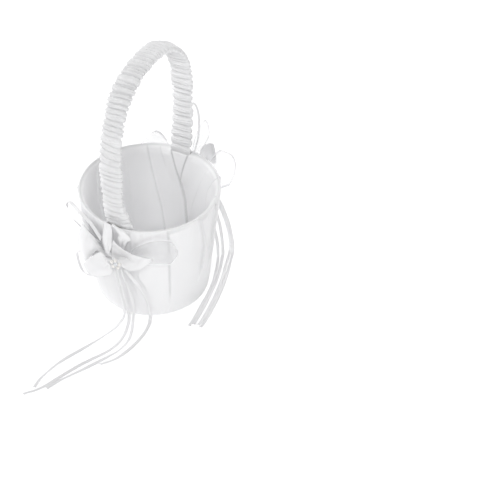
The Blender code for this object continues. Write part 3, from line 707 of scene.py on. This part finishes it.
handle = {
    "halfLine": [(54.2, 84), (56.8, 108), (60, 125), (62.6, 145), (63.3, 165), (62.6, 185),
                 (59.6, 203), (52.5, 218), (42, 231), (26, 241), (0, 245)],  # (y, z) in mm, foot to apex
    "rows": 1000, "columns": 48, "halfWidth": 9.4, "halfThickness": 2.3, "footHalf": 1.2,
    "puffs": (4.2, 10.5), "depth": 2.7, "flare": 6.0, "nearShift": 0.8, "clothWidth": 52 * mm,
}


def handleLine(rows):
    half = np.array([(0, y, z) for y, z in handle["halfLine"]], float)
    whole = np.vstack([half * (1, -1, 1), half[-2::-1]]) * mm
    line, _ = evenCurve(whole, rows * 2)
    start = np.argmax(line[:, 2] > bucket["footHeight"] - 1 * mm)
    return spaced(line[start: len(line) - start], rows)


def ruching(s, x, seed, low, high):
    # gathered cloth: puffs steeper on one side, with sharp valleys that wander a little across the strip
    draw = np.random.default_rng(seed)
    count = 170
    edges = np.cumsum(low + (high - low) * draw.beta(1.2, 1.8, count)) - 12
    tall = draw.uniform(0.75, 1.15, count)
    skew = draw.uniform(0.5, 1.1, count)
    q = s + 0.8 * Ripple(seed + 1, 6)(s / 38, x / 30) + 0.25 * Ripple(seed + 2)(s / 12, x / 12)
    k = np.clip(np.searchsorted(edges, q) - 1, 0, count - 2)
    gap = edges[k + 1] - edges[k]
    f = np.clip((q - edges[k]) / gap, 0.0001, 0.9999)
    early, late = skew[k], 1.6 - skew[k]
    peak = early / (early + late)
    dome = f ** early * (1 - f) ** late / (peak ** early * (1 - peak) ** late)
    faded = np.clip(0.9 + 0.12 * Ripple(seed + 3)(s / 20, x / 14), 0.5, 1.1)
    fine = 0.14 * np.sin(2 * pi * (q / 2.1 + 0.4 * Ripple(seed + 4)(s / 14, x / 12)))
    return tall[k] * (gap / 5.5) ** 0.4 * dome * faded + fine * smoothStep(0.2, 0.8, dome)


def makeSleeve(finish):
    line, along = handleLine(handle["rows"])
    tangent = unit(np.gradient(line, axis=0))
    out = np.stack([np.zeros(len(line)), -tangent[:, 2], tangent[:, 1]], axis=1)
    # s runs along the arch in mm, turn round the strip
    s, turn = np.meshgrid(along / mm, circle(handle["columns"]), indexing="ij")
    y, z = line[:, 1][:, None] / mm, line[:, 2][:, None] / mm
    rise = smoothStep(106, 121, z)
    wide = handle["halfWidth"] + 0.35 * Ripple(85)(s / 40, 0)
    thick = handle["footHalf"] + (handle["halfThickness"] - handle["footHalf"]) * rise
    cosine, sine = np.cos(turn), np.sin(turn)
    x = np.sign(cosine) * np.abs(cosine) ** 0.75 * wide
    n = np.sign(sine) * np.abs(sine) ** 0.75 * thick
    nx, nn = cosine / wide, sine / thick
    size = np.hypot(nx, nn)
    nx, nn = nx / size, nn / size
    face = smoothStep(-0.25, 0.25, sine)
    # the folds lie closer together over the top of the arch
    middle = s.max() / 2
    crown = np.exp(-((s - middle) / 80) ** 2)
    folds = ruching(s + 26 * np.tanh((s - middle) / 60) + 26, x * (0.6 + 0.8 * face), 300, *handle["puffs"])
    lift = handle["depth"] * (folds - 0.5) * (0.3 + 0.7 * rise)
    x = x + nx * np.clip(lift, -1.1, 1.1)
    n = n + nn * lift
    # the near leg's cloth spreads to one side above the rim, and ends there in an upright fold
    near = 1 - smoothStep(-60, -40, y)
    low = (1 - smoothStep(109, 138, z)) * (y < 0)
    x = x + handle["nearShift"] * near * smoothStep(112, 150, z)
    x = x + handle["flare"] * low * smoothStep(-4, 10, x)
    n = n + 1.1 * low * np.sin(np.clip((x - 5) / 6, 0, 1.3) * pi) * (sine > -0.2)
    points = line[:, None, :] + np.array([mm, 0, 0]) * x[..., None] + out[:, None, :] * (n * mm)[..., None]
    # nothing may push through the board or the welt where the sleeve goes in
    reach = np.hypot(points[..., 0], points[..., 1])
    limit = np.where(points[..., 2] < bucket["boardTop"] + 0.4 * mm,
                     coverRadius(points[..., 2]) - bucket["boardInset"] - 0.3 * mm,
                     bucket["rimRadius"] - 2.6 * mm)
    entering = points[..., 2] < bucket["height"] + 1.5 * mm
    squeeze = np.where(entering & (reach > limit), limit / reach, 1.0)
    points[..., :2] *= squeeze[..., None]
    # painted shade: the cloth's colour darkens deep between the puffs, more over the top of the arch
    paintedValleyShade = (0.2 + 0.3 * crown) * (1 - smoothStep(0.1, 0.45 + 0.4 * crown, folds)) * (0.3 + 0.7 * rise)
    size = (handle["clothWidth"], along[-1])
    piece = gridPiece("handleSleeve", points[:, ::-1], size, wrap=True, paintedShadeAndDensity=paintedValleyShade[:, ::-1])
    thicken(piece, 0.3 * mm)
    dress(piece, finish, "white_satin", "handle_sleeve")


# rows across the cloth and points along it, each (degrees round the wall, height, stand-off) in mm
petals = {
    "front_petal_left": {"pleats": 4, "rows": [
        [(-9, 79, 5), (-13, 87, 7), (-15, 96, 9), (-19, 100, 10), (-27, 102, 9)],
        [(-9, 77, 5.5), (-12, 84, 9), (-15, 91, 14), (-21, 90, 16), (-35, 76, 13)],
        [(-9, 75, 6), (-14, 80, 9), (-19, 71, 12), (-27, 59, 13), (-38, 52, 11)]]},
    "front_petal_low": {"pleats": 5, "rows": [
        [(-6, 76, 8.5), (-8, 84, 12), (-16, 74, 16), (-26, 58, 16.5)],
        [(-4.5, 74, 9), (-6, 72, 12), (-11, 64, 15), (-21, 46, 14)],
        [(-3.5, 72, 9), (-1, 68.5, 11), (0, 65, 12), (-3, 57.5, 11)]]},
    # the calla's painted shade in its hollow: where it lies along and across, how far it reaches each way,
    # and how dark
    "front_petal_calla": {"pleats": 4, "paintedHollowShade": (0.18, 0.3, 0.42, 0.16, 0.8), "rows": [
        [(2, 101, 8), (6, 98, 9), (12, 94, 10), (18, 90, 10.5), (25, 87, 10), (30, 85, 9)],
        [(-2, 87, 4.5), (2, 85, 3.8), (9, 82, 4.6), (16, 83, 8), (24, 86, 10.2), (30, 84.4, 8.8)],
        [(-2, 81, 6.5), (3, 79, 7), (8, 81, 6.5), (16, 80, 9), (23, 83, 11), (30, 83.8, 9)],
        [(-2.5, 78, 5.5), (3, 76, 6), (9, 75, 7), (15, 76, 10), (22, 80, 11.5), (30, 83.2, 9.2)],
        [(-1.5, 76.5, 7.5), (3, 75, 9), (9, 72, 10.5), (15, 71, 12), (23, 76, 12), (30, 82.6, 9.4)]]},
    "front_petal_fold": {"pleats": 3, "rows": [
        [(-6.7, 79, 6), (-9, 86, 5.6), (-8.7, 95, 6), (-6.1, 107, 7), (-4.2, 116, 7)],
        [(-5, 81, 7), (-4, 91.3, 9), (-2.5, 105, 11), (-1.5, 115, 11), (-1.3, 122, 9)],
        [(-3, 82, 6), (-1.2, 90, 5.6), (0.6, 101, 6), (1.8, 111, 7), (1.6, 119, 7)]]},
    "front_petal_top": {"pleats": 2, "rows": [
        [(4.7, 103, 5.5), (6.2, 107, 6), (6.2, 114, 8), (3.3, 122.5, 9)],
        [(8, 101.5, 6), (10.5, 107, 8), (9.5, 115, 10), (4.2, 123, 9.5)],
        [(11.6, 99, 5), (15.1, 104, 6), (13.2, 114.5, 9), (5.1, 122.6, 9)]]},
    "back_petal_left": {"pleats": 5, "rows": [
        [(-8, 82, 11), (-14, 92, 14), (-23, 98, 15), (-31, 97, 12)],
        [(-7, 80, 12), (-15, 83, 18), (-26, 81, 19), (-34, 79, 13)],
        [(-8, 77, 12), (-12, 71, 17), (-21, 64, 18), (-29, 61, 13)]]},
    "back_petal_low": {"pleats": 5, "rows": [
        [(-10, 71, 8), (-17, 66, 10), (-26, 56, 10), (-31, 49, 9)],
        [(-7, 69, 9), (-12, 61, 12), (-18, 51, 13), (-21, 42, 11)],
        [(-4, 67, 9), (-6, 59, 11), (-8, 50, 11), (-8, 43, 10)]]},
    "back_petal_right": {"pleats": 4, "rows": [
        [(8, 83, 6), (11, 98, 8), (12, 109, 8), (17, 116, 10), (22, 119, 10)],
        [(9, 81, 7), (13, 94, 11), (15, 103, 12), (19, 107, 13), (23, 112, 12)],
        [(9, 78, 7), (15, 89, 12), (17, 97, 12), (22, 97, 12), (26, 101, 11)]]},
    "back_petal_fold": {"pleats": 3, "rows": [
        [(-6, 84, 6), (-7, 98, 7), (-6, 111, 7)],
        [(-4, 83, 9), (-4, 98, 12), (-3.5, 114, 11)],
        [(-1.5, 84, 7), (-1.5, 98, 8), (-1.5, 112, 8)]]},
}
leaves = {
    "front_organza_left_high": [
        [(-9, 88, 3), (-18, 102, 3.5), (-30, 109, 5), (-38, 106, 5)],
        [(-9, 85, 3), (-22, 94, 4), (-36, 99, 6), (-44, 97, 5)],
        [(-9, 83, 3), (-22, 86, 3), (-36, 87, 4), (-43, 88, 4)]],
    "front_organza_left_low": [
        [(-9, 78, 3), (-24, 79, 3.5), (-38, 79, 5), (-50, 78, 4)],
        [(-9, 74, 3), (-26, 68, 4), (-42, 66, 7), (-53, 64, 6)],
        [(-9, 71, 3), (-22, 57, 3), (-36, 52, 4), (-47, 52, 4)]],
    "front_organza_right": [
        [(10, 83, 3), (20, 96, 3), (32, 103, 3), (44, 100, 3), (50, 92, 3)],
        [(10, 78, 3), (20, 84, 4), (34, 87, 5), (47, 84, 4), (52, 81, 3)],
        [(10, 73, 3), (20, 72, 3), (32, 70, 3), (43, 68, 3), (49, 71, 3)]],
    "back_organza_high": [
        [(3, 86, 6), (5, 104, 6), (6, 118, 8), (8, 132, 12)],
        [(5, 86, 7), (8, 105, 8), (10, 120, 12), (11.5, 135, 14)],
        [(7, 85, 7), (12, 104, 8), (16, 118, 10), (18, 129, 13)]],
    "back_organza_right": [
        [(11, 75, 3), (20, 97, 5), (27, 114, 9), (32, 122, 13)],
        [(11, 72, 3), (22, 84, 5), (31, 101, 14), (38, 112, 20)],
        [(11, 69, 3), (23, 70, 4), (34, 79, 15), (42, 89, 22)]],
    "back_organza_left": [
        [(-9, 87, 3), (-15, 108, 5), (-23, 118, 6), (-33, 111, 5)],
        [(-9, 83, 3), (-22, 94, 5), (-34, 100, 8), (-42, 95, 6)],
        [(-9, 79, 3), (-24, 78, 4), (-36, 80, 5), (-43, 82, 5)]],
}
petalCloth = {"along": 84, "across": 64, "fill": 0.66, "thickness": 0.35 * mm, "gather": 0.5 * mm,
              "ruffle": 0.45 * mm}
# a cloth's root is drawn this share of the way towards the flower's middle
roots = {"place": (2.5, 72.5, 4.5), "reach": 0.7, "front_petal_calla": 0, "front_petal_top": 0.35}


def clothPatch(name, facts, seed, gather, ruffle):
    # a smooth patch through the rows, gathered at its root and gently ruffled further out
    reach = roots.get(name, roots["reach"])
    rows = facts["rows"]
    if reach:
        rows = [[tuple(a + reach * (b - a) for a, b in zip(row[0], roots["place"]))] + row for row in rows]
    cage = np.array([[wallPoint(sideOf(name), *p) for p in row] for row in rows])
    u = np.linspace(0, 1, petalCloth["along"])
    v = np.linspace(0, 1, petalCloth["across"])
    ribs = np.array([smoothCurve(row, u) for row in cage])
    points = np.stack([smoothCurve(ribs[:, k], v) for k in range(len(u))], axis=1)
    if "round" in facts:
        ends = 1 - facts["round"] * np.abs(2 * v - 1) ** 3
        points = np.array([smoothCurve(row, u * end) for row, end in zip(points, ends)])
    du = np.gradient(points, axis=1)
    dv = np.gradient(points, axis=0)
    normal = np.cross(du, dv)
    normal /= np.maximum(np.linalg.norm(normal, axis=2), 1e-12)[..., None]
    gridU, gridV = np.meshgrid(u, v)
    draw = np.random.default_rng(seed)
    pleat = np.sin(2 * pi * (facts["pleats"] * gridV + draw.uniform(0, 1)) + 1.5 * np.sin(3 * gridU + seed))
    ridge = np.sign(pleat) * np.abs(pleat) ** 0.7
    lift = gather * ridge * (1 - smoothStep(0.05, 0.75, gridU)) * smoothStep(0, 0.12, gridU + 0.05)
    lift += ruffle * Ripple(seed + 1, 6)(gridU * 1.3, gridV * 1.2) * smoothStep(0.2, 0.7, gridU) * 0.5
    # the cut: as long as the longest way out, and filling about two thirds of its rectangle
    length = float(np.linalg.norm(du, axis=2).sum(axis=1).max())
    area = float(np.linalg.norm(np.cross(du, dv), axis=2).sum())
    cut = {"length": length, "width": area / (petalCloth["fill"] * length), "area": area}
    # painted shade: the colour darkens along the gathered root, and in the calla's hollow
    uMid, uReach, vMid, vReach, paintedShade = facts.get("paintedHollowShade", (0, 0.16, 0.5, 9, 0.35))
    paintedShadeAndDensity = paintedShade * np.exp(-((gridU - uMid) / uReach) ** 2 - ((gridV - vMid) / vReach) ** 2)
    return points + normal * lift[..., None], paintedShadeAndDensity, cut


def makePetals(finish):
    for k, (name, facts) in enumerate(petals.items()):
        points, paintedShadeAndDensity, cut = clothPatch(name, facts, 500 + 7 * k, petalCloth["gather"], petalCloth["ruffle"])
        piece = gridPiece("petal_" + name, points, (cut["length"], cut["width"]), paintedShadeAndDensity=paintedShadeAndDensity)
        thicken(piece, petalCloth["thickness"], offset=0)
        dress(piece, finish, "white_satin", name)


def makeLeaves(finish):
    for k, (name, rows) in enumerate(leaves.items()):
        facts = {"rows": rows, "pleats": organza["pleats"], "round": organza["round"]}
        points, _, cut = clothPatch(name, facts, 700 + 7 * k, organza["gather"], organza["gather"])
        # denser where it is gathered, and turned over at the end
        tip = np.repeat(0.5 * np.linspace(1, 0, points.shape[1])[None, :] ** 1.5, points.shape[0], axis=0)
        tip[:, -3:] = 1
        piece = gridPiece("leaf_" + name, points, (cut["length"], organza["width"]), paintedShadeAndDensity=tip)
        dress(piece, finish, "white_organza", name)


# the flower's middle: the radius of a pearl and of the stone, and how the knot is gathered
centre = {"pearl": 1.7 * mm, "stone": 2.0 * mm, "pearls": 5, "facets": 12, "knotPleats": 9,
          "pleatDepth": 0.07}


def ball(name, place, radius, segments=32, rings=18):
    bm = bmesh.new()
    bmesh.ops.create_uvsphere(bm, u_segments=segments, v_segments=rings, radius=radius)
    bmesh.ops.translate(bm, vec=place, verts=bm.verts)
    mesh = bpy.data.meshes.new(name)
    bm.to_mesh(mesh)
    bm.free()
    mesh.shade_smooth()
    return addObject(name, mesh)


def makeStone(name, place, side):
    # a brilliant-cut stone facing outwards: a flat table, two rows of facets and a point behind
    rings = [(0.0, 0.55, 0), (0.55, 0.55, 0), (0.85, 0.3, 0.5), (1.0, 0.0, 0), (0.9, -0.18, 0.5),
             (0.0, -0.75, 0)]
    bm = bmesh.new()
    loops = []
    count, size = centre["facets"], centre["stone"]
    for radius, out, shift in rings:
        turns = [2 * pi * (k + shift) / count for k in range(count if radius else 1)]
        loops.append([bm.verts.new((radius * cos(t) * size, side * out * size, radius * sin(t) * size))
                      for t in turns])
    for a, b in zip(loops, loops[1:]):
        for k in range(count):
            ring = [a[k % len(a)], a[(k + 1) % len(a)], b[(k + 1) % len(b)], b[k % len(b)]]
            bm.faces.new(list(dict.fromkeys(ring)))
    bmesh.ops.recalc_face_normals(bm, faces=bm.faces)
    bmesh.ops.translate(bm, vec=place, verts=bm.verts)
    mesh = bpy.data.meshes.new(name)
    bm.to_mesh(mesh)
    bm.free()
    return addObject(name, mesh)


def makeCentres(finishes):
    for prefix, side in (("front", front), ("back", back)):
        knotLow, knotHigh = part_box(prefix + "_knot")
        middle = (knotLow + knotHigh) / 2
        turn, rise = np.meshgrid(circle(96), np.linspace(0.02, pi - 0.02, 40))
        half = (knotHigh - knotLow) / 2
        pleats = np.sin(turn * centre["knotPleats"] + 0.8 * np.sin(rise * 3))
        swell = 1 + centre["pleatDepth"] * pleats * np.sin(rise)
        points = np.stack([middle.x + half.x * swell * np.cos(turn) * np.sin(rise),
                           middle.y + half.y * swell * np.sin(turn) * np.sin(rise),
                           middle.z + half.z * np.cos(rise)], axis=-1)
        knot = gridPiece(prefix + "Knot", points[::-1], (25 * mm, 14 * mm), wrap=True, capEnds=True)
        dress(knot, finishes["petal"], "white_satin", prefix + "_knot")
        stoneLow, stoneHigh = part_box(prefix + "_rhinestone")
        stone = makeStone(prefix + "Stone", (stoneLow + stoneHigh) / 2, side)
        dress(stone, finishes["stone"], "rhinestone", prefix + "_rhinestone")
        for k in range(1, centre["pearls"] + 1):
            low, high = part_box(f"{prefix}_pearl_{k}")
            bead = ball(f"{prefix}Pearl{k}", (low + high) / 2, centre["pearl"])
            dress(bead, finishes["pearl"], "pearl", f"{prefix}_pearl_{k}")


stitch = {"length": 1.5 * mm, "radius": 0.16 * mm, "rimCount": 150, "drop": 1.5 * mm, "standOff": 0.2 * mm,
          "pathPoints": 400}


def stitchTree(material):
    # beads of thread along a closed guide
    tree = bpy.data.node_groups.new("stitchRow", "GeometryNodeTree")
    tree.interface.new_socket("Geometry", in_out="OUTPUT", socket_type="NodeSocketGeometry")
    for name, kind in (("Geometry", "Geometry"), ("Count", "Int"), ("Length", "Float"), ("Radius", "Float")):
        tree.interface.new_socket(name, in_out="INPUT", socket_type="NodeSocket" + kind)
    start, end, resample, toCurve, bead, size, shape, tangent, align, put, realize, paint, halve = (
        tree.nodes.new(kind) for kind in (
            "NodeGroupInput", "NodeGroupOutput", "GeometryNodeResampleCurve", "GeometryNodeMeshToCurve",
            "GeometryNodeMeshUVSphere", "ShaderNodeCombineXYZ", "GeometryNodeTransform",
            "GeometryNodeInputTangent", "FunctionNodeAlignRotationToVector", "GeometryNodeInstanceOnPoints",
            "GeometryNodeRealizeInstances", "GeometryNodeSetMaterial", "ShaderNodeMath"))
    align.axis = "X"
    halve.operation = "MULTIPLY"
    for node, socket, value in ((bead, "Segments", 6), (bead, "Rings", 5), (bead, "Radius", 1.0),
                                (paint, "Material", material), (halve, 1, 0.5)):
        node.inputs[socket].default_value = value
    for giver, output, taker, entry in (
            (start, "Geometry", toCurve, 0), (toCurve, 0, resample, "Curve"),
            (start, "Count", resample, "Count"), (start, "Length", halve, 0), (halve, 0, size, "X"),
            (start, "Radius", size, "Y"),
            (start, "Radius", size, "Z"), (bead, "Mesh", shape, "Geometry"), (size, 0, shape, "Scale"),
            (resample, 0, put, "Points"), (shape, 0, put, "Instance"), (tangent, 0, align, "Vector"),
            (align, 0, put, "Rotation"), (put, 0, realize, 0), (realize, 0, paint, "Geometry"),
            (paint, 0, end, 0)):
        tree.links.new(giver.outputs[output], taker.inputs[entry])
    return tree


def stitchRow(name, tree, path, count):
    mesh = bpy.data.meshes.new(name)
    edges = [(k, (k + 1) % len(path)) for k in range(len(path))]
    mesh.from_pydata([tuple(p) for p in path], edges, [])
    guide = addObject(name + "Guide", mesh)
    modifier = guide.modifiers.new("stitches", "NODES")
    modifier.node_group = tree
    sockets = {item.name: item.identifier for item in tree.interface.items_tree if item.in_out == "INPUT"}
    for socket, value in (("Count", count), ("Length", stitch["length"]), ("Radius", stitch["radius"])):
        modifier[sockets[socket]] = value
    bpy.context.view_layer.update()
    shown = guide.evaluated_get(bpy.context.evaluated_depsgraph_get())
    made = bpy.data.meshes.new_from_object(shown)
    bpy.data.objects.remove(guide)
    made.shade_smooth()
    return addObject(name, made)


def makeStitches(finish):
    tree = stitchTree(finish)
    turn = circle(stitch["pathPoints"])
    height = bucket["boardTop"] - stitch["drop"]
    radius = coverRadius(height) + stitch["standOff"]
    rim = np.stack([radius * np.cos(turn), radius * np.sin(turn), np.full(len(turn), height)], axis=1)
    dress(stitchRow("rimStitches", tree, rim, stitch["rimCount"]), finish, "white_satin")


makeCamera()
makeStudio()
finishes = makeFinishes()
print("studio and finishes ready")
makeTails(finishes["ribbon"])
makeLoops(finishes["ribbon"])
print("ribbons laid")
makeCover(finishes["satin"])
makeLining(finishes["lining"])
makeLiningBase(finishes["lining"])
makeWelt(finishes["satin"])
print("bucket dressed")
makeSleeve(finishes["sleeve"])
print("handle ruched")
makePetals(finishes["petal"])
makeLeaves(finishes["organza"])
makeCentres(finishes)
print("bows tied")
makeStitches(finishes["thread"])

# the pieces that keep the model's own solid
carried = {"wall_board": "card", "base_board": "card", "base_cover": "satin", "handle_strip": "plastic",
           "front_backing": "felt", "back_backing": "felt", "front_foot_pad": "glue", "back_foot_pad": "glue"}
for name, finish in carried.items():
    nodes[name].data.materials.clear()
    nodes[name].data.materials.append(finishes[finish])
print("all pieces made")
